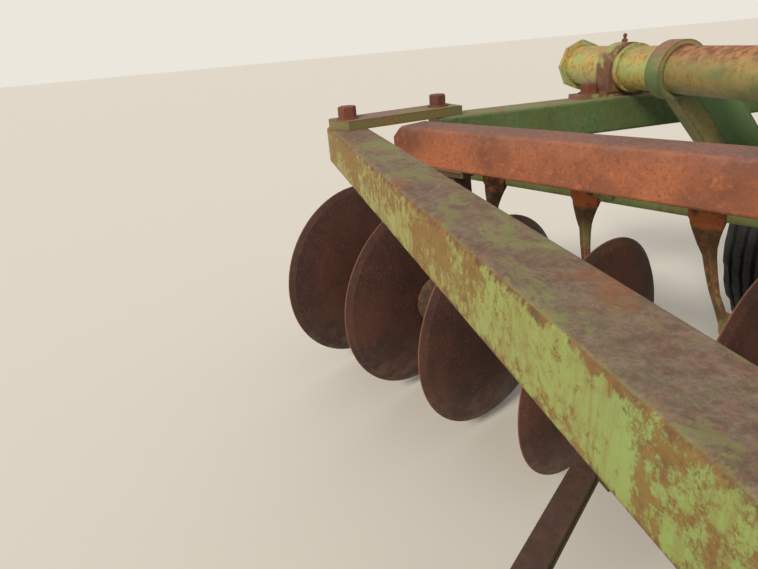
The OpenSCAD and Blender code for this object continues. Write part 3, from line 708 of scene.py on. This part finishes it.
def stand(place, axis, turn=0.0):
    """A matrix that stands a turned part on a place, along an axis."""
    upright = Vector(axis).normalized().to_track_quat("Z", "Y").to_matrix().to_4x4()
    return Matrix.Translation(place) @ upright @ Matrix.Rotation(turn, 4, "Z")


def lathe(mesh, matrix, profile, steps):
    """A closed turned form from radius and height pairs in metres, whose ends lie on the axis."""
    angles = [2 * math.pi * k / steps for k in range(steps)]
    rings = []
    for radius, height in profile:
        if radius == 0:
            rings.append([mesh.verts.new(matrix @ Vector((0, 0, height)))])
            continue
        ring = [Vector((radius * math.cos(t), radius * math.sin(t), height)) for t in angles]
        rings.append([mesh.verts.new(matrix @ point) for point in ring])
    for low, high in zip(rings, rings[1:]):
        for k in range(steps):
            j = (k + 1) % steps
            if len(low) == 1:
                mesh.faces.new((low[0], high[j], high[k]))
            elif len(high) == 1:
                mesh.faces.new((low[k], low[j], high[0]))
            else:
                mesh.faces.new((low[k], low[j], high[j], high[k]))


def skin(mesh, rings):
    """Joins rings of as many points each into a form."""
    for low, high in zip(rings, rings[1:]):
        for k in range(len(low)):
            j = (k + 1) % len(low)
            mesh.faces.new((low[k], low[j], high[j], high[k]))


def solid(mesh, rings):
    """A form through rings of points, closed at both its ends."""
    mesh.faces.new(list(reversed(rings[0])))
    mesh.faces.new(rings[-1])
    skin(mesh, rings)


def plate(mesh, matrix, outline, thick):
    """A plate with the given outline, in millimetres, whose thickness goes along the matrix's Z."""
    solid(mesh, [[mesh.verts.new(matrix @ mm(x, y, z)) for x, y in outline] for z in (0, thick)])


def square_tube(mesh, matrix, start, end, half, corner):
    """A closed tube with rounded corners about the matrix's X axis, in millimetres."""
    section = []
    flat = half - corner
    for k, (side, up) in enumerate([(1, 1), (-1, 1), (-1, -1), (1, -1)]):
        for j in range(5):
            t = math.pi / 2 * (k + j / 4)
            section.append((side * flat + corner * math.cos(t), up * flat + corner * math.sin(t)))
    solid(mesh, [[mesh.verts.new(matrix @ mm(x, y, z)) for y, z in section] for x in (start, end)])


def hex_head(mesh, place, axis, flats, height, turn, washer=True):
    """A bolt's head with chamfered corners, on a washer; its sizes are in metres."""
    radius = flats / math.sqrt(3)
    edge = flats * 0.06
    base = 0.003 if washer else 0.0
    if washer:
        wide, cut = radius * 1.18, 0.0006
        lathe(mesh, stand(place, axis), [
            (0, 0), (wide, 0), (wide, base - cut), (wide - cut, base), (0, base),
        ], 28)
    low, top = base * 0.9, base + height
    lathe(mesh, stand(place, axis, turn), [
        (0, low), (radius, low), (radius, top - edge), (radius - edge * 1.3, top), (0, top),
    ], 6)


def nut(mesh, place, axis, flats, turn=0.3):
    """A washer, a hex nut and the end of its thread."""
    hex_head(mesh, place, axis, flats, flats * 0.5, turn)
    thread, ridge, depth = flats * 0.3, 0.0016, 0.0007
    start = flats * 0.5
    profile = [(0, start)]
    for k in range(7):
        profile += [(thread, start + k * ridge), (thread - depth, start + k * ridge + ridge / 2)]
    lathe(mesh, stand(place, axis), profile + [(0, start + 0.0115)], 20)


def grease_fitting(mesh, place, axis):
    """A grease fitting: a small hexagon and its ball end."""
    lathe(mesh, stand(place, axis), [(0, 0), (0.0065, 0), (0.0065, 0.006), (0, 0.006)], 6)
    lathe(mesh, stand(place, axis), [
        (0, 0.005), (0.0035, 0.0055), (0.0032, 0.011), (0.0044, 0.0125), (0.0044, 0.015), (0.002, 0.018),
        (0, 0.018),
    ], 16)


def weld(mesh, points, radius=0.004):
    """A weld bead along a line of points, rippled as the rod went along."""
    step, sides = 0.003, 7
    path = []
    for a, b in zip(points, points[1:]):
        count = max(2, int((b - a).length / step))
        path += [a.lerp(b, k / count) for k in range(count)]
    path.append(points[-1])
    angles = [2 * math.pi * j / sides for j in range(sides)]
    rings = []
    for k, place in enumerate(path):
        along = (path[min(k + 1, len(path) - 1)] - path[max(k - 1, 0)]).normalized()
        turn = along.to_track_quat("Z", "Y").to_matrix()
        swell = radius * (0.8 + 0.25 * abs(math.sin(k * 1.3)) + 0.1 * math.sin(k * 0.37))
        ring = [place + turn @ Vector((math.cos(t), math.sin(t), 0)) * swell for t in angles]
        rings.append([mesh.verts.new(point) for point in ring])
    solid(mesh, rings)


def ring_round(x, y, z, radius):
    """A closed ring of places in the drawing, round a line along X."""
    angles = [2 * math.pi * k / 24 for k in range(25)]
    return [at(x, y + radius * math.cos(t), z + radius * math.sin(t)) for t in angles]


def make_piece(name, mesh, material, body, smooth=35, bevel=0.0):
    """A piece that rides a body, smooth except on edges sharper than smooth, in degrees."""
    bmesh.ops.recalc_face_normals(mesh, faces=mesh.faces)
    data = bpy.data.meshes.new(name)
    mesh.to_mesh(data)
    mesh.free()
    data.materials.append(material)
    piece = bpy.data.objects.new(name, data)
    bpy.context.collection.objects.link(piece)
    for face in data.polygons:
        face.use_smooth = True
    sharp = math.radians(smooth)
    data.set_sharp_from_angle(angle=sharp)
    if bevel:
        edge = piece.modifiers.new("edge", "BEVEL")
        edge.width = bevel
        edge.segments = 2
        edge.limit_method = "ANGLE"
        edge.angle_limit = sharp
    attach(piece, body)
    return piece


def frame_bolts():
    """The bolts of the corner ties and of the rockshaft's clamps, with a grease fitting on each clamp."""
    mesh = bmesh.new()
    for side in (-1, 1):
        for ahead in (-1, 1):
            for k, (x, y) in enumerate(TIE_BOLTS):
                hex_head(mesh, at(side * x, ahead * y, TIE_TOP), UP, 0.033, 0.022, turn=0.5 + k * 0.3)
                nut(mesh, at(side * x, ahead * y, FRAME_LOW), DOWN, 0.033)
        for x in CLAMP_X:
            for y in (SHAFT_Y - CLAMP_BOLT_Y, SHAFT_Y + CLAMP_BOLT_Y):
                hex_head(mesh, at(side * x, y, CLAMP_FOOT), UP, 0.034, 0.020, turn=0.3 + y * 0.01)
            grease_fitting(mesh, at(side * (x + 4), SHAFT_Y, SHAFT_Z + CLAMP_R), UP)
    make_piece("frame_bolts", mesh, bolt_steel, "frame", bevel=0.0012)


def frame_welds():
    """Welds round the ends of the centre beams, along the clamps and on the tops of the standards."""
    mesh = bmesh.new()
    corner = 4
    left, right = CENTRE_BEAM_X - TUBE_HALF, CENTRE_BEAM_X + TUBE_HALF
    for side in (-1, 1):
        for ahead in (-1, 1):
            y = ahead * (BEAM_Y - TUBE_HALF)
            for x in (left, right):
                weld(mesh, [at(side * x, y, FRAME_TOP - corner), at(side * x, y, FRAME_LOW + corner)])
            for z in (FRAME_TOP, FRAME_LOW):
                weld(mesh, [at(side * (left + 6), y, z), at(side * (right - 6), y, z)])
        for x in CLAMP_X:
            for edge in (x - CLAMP_HALF, x + CLAMP_HALF):
                ends = [at(side * edge, y, CLAMP_FOOT + 1) for y in (SHAFT_Y - CLAMP_R, SHAFT_Y + CLAMP_R)]
                weld(mesh, ends, 0.003)
    for gang in GANGS.values():
        place = gang_matrix(gang)
        for middle in standards_at(gang):
            for v in STANDARD_EDGES:
                ends = [place @ mm(middle + s * STANDARD_HALF, v, FRAME_LOW) for s in (-1, 1)]
                weld(mesh, ends, 0.0035)
    make_piece("frame_welds", mesh, weld_steel, "frame", smooth=80)


def barrel_ports():
    """Two ports on the barrel, closed by plugs as no hose is on the machine, and the gland at its mouth."""
    line = (ROD_AIM - BARREL_PIN).normalized()
    up = line.cross(Vector((1, 0, 0)))
    mesh = bmesh.new()
    for run in PORTS_AT:
        foot = at(*(BARREL_PIN + line * run + up * BARREL_R))
        lathe(mesh, stand(foot, up), [
            (0, 0), (0.016, 0), (0.016, 0.012), (0.015, 0.013), (0, 0.013),
        ], 28)
        lathe(mesh, stand(foot, up), [
            (0, 0.012), (0.0125, 0.012), (0.0125, 0.022), (0.0115, 0.023), (0, 0.023),
        ], 6)
    mouth = at(*(BARREL_PIN + line * BARREL_MOUTH))
    lathe(mesh, stand(mouth, line), [
        (0, 0), (0.0445, 0), (0.0445, 0.004), (0.0438, 0.0048), (0, 0.0048),
    ], 48)
    make_piece("cylinder_ports", mesh, deep_paint, "barrel")


def pin_clips(body, pin, half):
    """A washer and a clip on each end of one of the cylinder's pins; half is half the pin's length."""
    mesh = bmesh.new()
    for s in (-1, 1):
        washer = at(pin.x + s * (half - 7), pin.y, pin.z)
        profile = [(0, 0), (0.020, 0), (0.020, 0.0022), (0.0194, 0.0028), (0, 0.0028)]
        lathe(mesh, stand(washer, (s, 0, 0)), profile, 32)
        weld(mesh, ring_round(pin.x + s * (half - 2.5), pin.y, pin.z, 17), 0.0017)
    make_piece(f"pin_clips_{body}", mesh, bolt_steel, body, smooth=60)


def hitch_bolts():
    """The bolts of the clevis, the tongue's hangers and the jack, each with a turn of its own, and a weld."""
    mesh = bmesh.new()
    for x in (-CLEVIS_BOLT_X, CLEVIS_BOLT_X):
        for z in (TONGUE_Z - CLEVIS_BOLT_UP, TONGUE_Z + CLEVIS_BOLT_UP):
            hex_head(mesh, at(x, CLEVIS_FACE, z), (0, 1, 0), 0.018, 0.009, turn=x)
    for side in (-1, 1):
        for y in TONGUE_BOLTS_Y:
            nut(mesh, at(side * TONGUE_BOLT_X, y, TONGUE_BOLT_Z), (-side, 0, 0), 0.022, turn=y)
    weld(mesh, [at(side * TUBE_HALF, TONGUE_END, TONGUE_Z + TUBE_HALF + 2) for side in (-1, 1)])
    for z in (TONGUE_Z - JACK_BOLT_UP, TONGUE_Z + JACK_BOLT_UP):
        hex_head(mesh, at(JACK_BOLT_X, JACK_BOLT_Y, z), (0, -1, 0), 0.016, 0.008, turn=z)
    make_piece("hitch_bolts", mesh, bolt_steel, "frame", bevel=0.0006)


def jack_grip():
    """The grip on the handle of the jack's crank."""
    mesh = bmesh.new()
    lathe(mesh, stand(at(JACK_HANDLE_X, JACK_Y, JACK_HANDLE_Z), UP), [
        (0, 0.004), (0.012, 0.004), (0.0145, 0.012), (0.0138, 0.03), (0.0148, 0.05), (0.0138, 0.07),
        (0.0145, 0.082), (0.011, 0.0885), (0, 0.0885),
    ], 28)
    make_piece("jack_grip", mesh, grip_plastic, "frame")


def scraper_bar(name):
    """The painted bar behind a gang, and the plates that it hangs by."""
    gang = GANGS[name]
    place = gang_matrix(gang)
    mesh = bmesh.new()
    start = rim_at(gang, gang.blades - 1) + BAR_PAST_ENDS[0]
    end = rim_at(gang, 1) + BAR_PAST_ENDS[1]
    axis = place @ Matrix.Translation(mm(0, -BAR_BACK - BAR_HALF, BAR_LOW + BAR_HALF))
    square_tube(mesh, axis, start, end, BAR_HALF, corner=6)
    for u in (-HANGER_U, HANGER_U):
        face = place @ Matrix.Translation(mm(u - HANGER_THICK / 2, 0, 0)) @ THICK_ALONG_U
        plate(mesh, face, HANGER_OUTLINE, HANGER_THICK)
    piece = make_piece(f"{name}_scraper_bar", mesh, bar_paint, "frame", bevel=0.0012)
    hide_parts(f"{name}_scrapers")


def dish(radius):
    """How far a blade is hollowed at a radius, from the flat in its middle."""
    return math.sqrt(BLADE_SPHERE ** 2 - BLADE_FLAT ** 2) - math.sqrt(BLADE_SPHERE ** 2 - radius ** 2)


def blade_face(down):
    """Where a shoe is beside the blade's hollow face, from the rim plane, at a distance down its slope."""
    v = -BAR_BACK + down * math.cos(SCRAPER_SLOPE)
    z = SCRAPER_TOP - AXLE_Z - down * math.sin(SCRAPER_SLOPE)
    return dish(math.hypot(v, z)) - dish(BLADE_R) + SHOE_GAP


# A scraper's arm: how far down its slope, its two edges from the rim plane, and the height of its fold.
ARM_SECTIONS = [
    (-8, 103, 163, 0), (8, 103, 156, 4), (24, 102, 145, 8), (43, 99, 131, 10), (61, 93, 116, 10),
    (90, 81, 101, 9), (120, 67, 84, 7), (150, 46, 64, 5), (172, 31, 50, 3), (188, 20, 40, 1),
]
SHOE_CURVE = [(blade_face(down), down) for down in range(150, 201, 10)]
SHOE_OUTLINE = [(58, 148), (8, 150)] + SHOE_CURVE + [(14, 204), (30, 200), (46, 184)]


def folded_arm(mesh, slope):
    """A scraper's arm, folded lengthwise, that narrows down to its shoe."""
    half, fold_at = 4, 0.42
    rings = []
    for down, right, left, fold in ARM_SECTIONS:
        middle = right + (left - right) * fold_at
        over = [(left, half), (middle, half + fold), (right, half)]
        under = [(right, -half), (middle, fold - half - 1), (left, -half)]
        rings.append([mesh.verts.new(slope @ mm(u, down, z)) for u, z in over + under])
    solid(mesh, rings)


def scraper_blades(name):
    """Scrapers: an upright plate on the bar, a folded arm, and a shoe that follows the hollow of the disc."""
    gang = GANGS[name]
    place = gang_matrix(gang)
    mesh = bmesh.new()
    upright_outline = [(u, BAR_LOW + z) for u, z in UPRIGHT_OUTLINE]
    for k in range(1, gang.blades):
        rim = rim_at(gang, k)
        upright = place @ Matrix.Translation(mm(rim, -UPRIGHT_BACK, 0)) @ THICK_ALONG_V
        plate(mesh, upright, upright_outline, UPRIGHT_THICK)
        slope = place @ Matrix.Translation(mm(rim, -BAR_BACK, SCRAPER_TOP))
        slope = slope @ Matrix.Rotation(-SCRAPER_SLOPE, 4, "X")
        folded_arm(mesh, slope)
        plate(mesh, slope @ Matrix.Translation(mm(0, 0, -SHOE_THICK / 2)), SHOE_OUTLINE, SHOE_THICK)
    make_piece(f"{name}_scraper_blades", mesh, scraper_steel, "frame", smooth=25, bevel=0.0008)


def gang_bolts(name):
    """The bolts of a gang's scrapers and bearing housings, with a grease fitting on each housing."""
    gang = GANGS[name]
    place = gang_matrix(gang)
    turn = place.to_3x3()
    ahead = turn @ Vector((0, 1, 0))
    along = turn @ Vector((1, 0, 0))
    mesh = bmesh.new()
    for k in range(1, gang.blades):
        for u in UPRIGHT_BOLTS:
            head = place @ mm(rim_at(gang, k) + u, UPRIGHT_THICK - UPRIGHT_BACK, UPRIGHT_BOLT_Z)
            hex_head(mesh, head, ahead, 0.017, 0.009, turn=0.1 * k)
    for middle in standards_at(gang):
        for face in (-1, 1):
            for k in range(6):
                t = math.pi / 6 + k * math.pi / 3
                v, z = HOUSING_BOLT_R * math.cos(t), AXLE_Z + HOUSING_BOLT_R * math.sin(t)
                head = place @ mm(middle + face * HOUSING_FACE, v, z)
                hex_head(mesh, head, along * face, 0.013, 0.007, turn=t, washer=False)
        grease_fitting(mesh, place @ mm(middle, HOUSING_BACK, AXLE_Z), -ahead)
    make_piece(f"{name}_bolts", mesh, bolt_steel, "frame", bevel=0.0006)


def lock_plates(name):
    """The lock plate and the thread's end on both ends of a gang's axle."""
    gang = GANGS[name]
    place = gang_matrix(gang)
    along = place.to_3x3() @ Vector((1, 0, 0))
    mesh = bmesh.new()
    end = (gang.blades - 1) * PITCH / 2 + AXLE_PAST_BLADE
    for s in (-1, 1):
        base = place @ mm(s * end, 0, AXLE_Z)
        lathe(mesh, stand(base, along * s, 0.4), [
            (0, 0), (0.024, 0), (0.024, 0.002), (0.0232, 0.003), (0, 0.003),
        ], 32)
        lathe(mesh, stand(base, along * s), [
            (0, 0.002), (0.0135, 0.002), (0.0135, 0.013), (0.012, 0.0145), (0, 0.0145),
        ], 28)
    make_piece(f"{name}_lock_plates", mesh, bolt_steel, f"{name}_gang")


def arm_welds(side):
    """The welds round the rockshaft on both faces of a wheel arm."""
    mesh = bmesh.new()
    for x in ARM_FACES:
        weld(mesh, ring_round(side * x, SHAFT_Y, SHAFT_Z, ARM_WELD_R), 0.0035)
    make_piece(f"arm_welds_{side_name(side)}", mesh, weld_steel, "lift_shaft", smooth=80)


def smooth_line(points, per):
    """Points on a smooth line through the given ones, per of them to each stretch."""

    def along(a, b, c, d, t):
        bend, twist = 2 * a - 5 * b + 4 * c - d, 3 * b - a - 3 * c + d
        return 0.5 * (2 * b + (c - a) * t + bend * t * t + twist * t ** 3)

    line = []
    last = len(points) - 1
    for k in range(last):
        near = [points[min(max(k + j, 0), last)] for j in (-1, 0, 1, 2)]
        for j in range(per):
            line.append(tuple(along(*values, j / per) for values in zip(*near)))
    return line + [points[-1]]


def tyre_section():
    """Half a tyre's section, from its bead to the middle of its tread: across and radius, in millimetres."""
    wall = smooth_line([
        (-88, 195.5), (-93, 204), (-97, 216), (-106, 238), (-112.5, 262), (-114.8, 290), (-113, 318),
        (-106, 342), (-97, 355),
    ], 4)
    moulded_ring = [(-114.2, 298), (-115, 300), (-115, 304), (-114, 306)]
    below = [q for q in wall if q[1] <= 297]
    above = [q for q in wall if q[1] >= 307]
    tread = [
        (-92, 362), (-88, 366), (-70, 371), (-66, 371.5), (-65, 362), (-57, 362), (-56, 372.8), (-36, 374),
        (-35, 373.8), (-34, 364), (-26, 364), (-25, 374.4), (-7, 375), (-6, 374.6), (-5, 365), (0, 365),
    ]
    return below + moulded_ring + above + tread


def tread_cut(x, radius, k):
    """How deep the tread is cut at a step round it, by notches in its shoulders and slits in its ribs."""
    notch = 5.0 if 358 < radius < 373 and abs(x) > 69 and k % 6 in (0, 1) else 0.0
    slit = 2.0 if radius > 371 and abs(x) > 24 and k % 3 == 0 else 0.0
    return notch + slit


def tyre(side):
    """A worn ribbed tyre, in place of the plain one."""
    half = tyre_section()
    section = half + [(-x, radius) for x, radius in reversed(half[:-1])]
    steps = 144
    mesh = bmesh.new()
    rings = []
    for k in range(steps):
        t = 2 * math.pi * k / steps
        ring = []
        for x, radius in section:
            r = radius - tread_cut(x, radius, k)
            place = at(side * (TYRE_X + x), WHEEL_Y + r * math.cos(t), WHEEL_Z + r * math.sin(t))
            ring.append(mesh.verts.new(place))
        rings.append(ring)
    skin(mesh, rings + rings[:1])
    name = side_name(side)
    piece = make_piece(f"ribbed_tyre_{name}", mesh, tyre_rubber, f"road_wheel_{name}", smooth=38)
    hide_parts(f"tyre_{name}")


def wheel_nuts(side):
    """The nuts of a wheel, and the valve's stem."""
    mesh = bmesh.new()
    for k in range(6):
        t = 2 * math.pi * k / 6
        y, z = WHEEL_Y + WHEEL_NUTS_R * math.cos(t), WHEEL_Z + WHEEL_NUTS_R * math.sin(t)
        nut(mesh, at(side * WHEEL_NUTS_X, y, z), (-side, 0, 0), 0.019, turn=t)
    stem = at(side * VALVE_X, WHEEL_Y, WHEEL_Z + VALVE_R)
    lathe(mesh, stand(stem, (-side, 0, -0.5)), [
        (0, 0), (0.006, 0), (0.005, 0.012), (0.004, 0.03), (0.0046, 0.031), (0.0046, 0.042), (0, 0.043),
    ], 16)
    name = side_name(side)
    make_piece(f"wheel_nuts_{name}", mesh, bolt_steel, f"road_wheel_{name}", bevel=0.0006)


paint_nodes()
frame_bolts()
frame_welds()
barrel_ports()
pin_clips("frame", BARREL_PIN, reach("cylinder_bracket", X))
pin_clips("lift_shaft", CRANK_PIN, reach("lift_crank", X))
hitch_bolts()
jack_grip()
for gang_name in GANGS:
    scraper_bar(gang_name)
    scraper_blades(gang_name)
    gang_bolts(gang_name)
    lock_plates(gang_name)
for side in (-1, 1):
    arm_welds(side)
    tyre(side)
    wheel_nuts(side)
make_floor()
make_sky()
make_lamp()
bpy.context.scene.view_settings.view_transform = "Standard"
